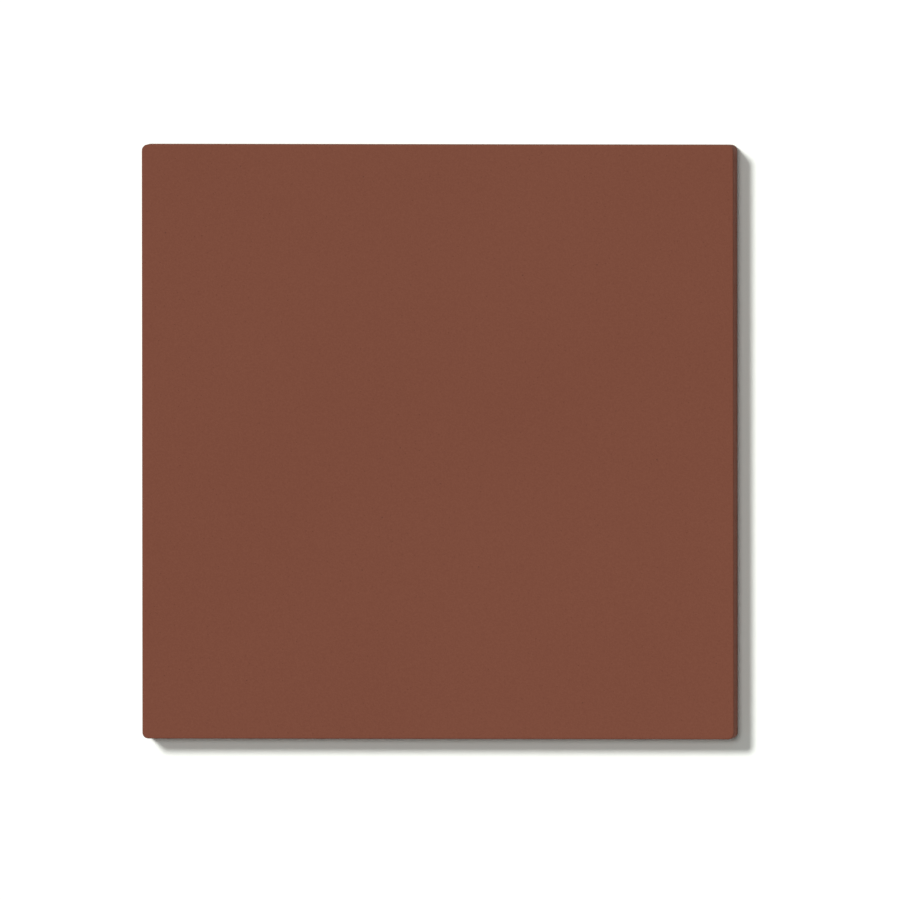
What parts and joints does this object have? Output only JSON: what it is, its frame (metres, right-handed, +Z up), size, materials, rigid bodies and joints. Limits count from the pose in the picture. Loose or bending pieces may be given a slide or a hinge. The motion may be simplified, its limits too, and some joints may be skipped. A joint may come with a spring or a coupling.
{
  "type": "clinker tile",
  "caption": "Square unglazed red-brown clinker floor tile, dry-pressed, with a flat matt wearing face, crisp edges and a waffle-ribbed back for the mortar.",
  "frame": {"origin": "on the plane that the tile rests on, the crests of its back ribs, under the centre of the tile", "axes": "+Z up, out of the wearing face; +X and +Y along the sides, to the right and to the top of the picture"},
  "size_m": [0.15, 0.15, 0.012],
  "materials": {
    "fired_clay": "matte"
  },
  "bodies": {
    "root": {"clinker_tile": "fired_clay"}
  },
  "joints": []
}
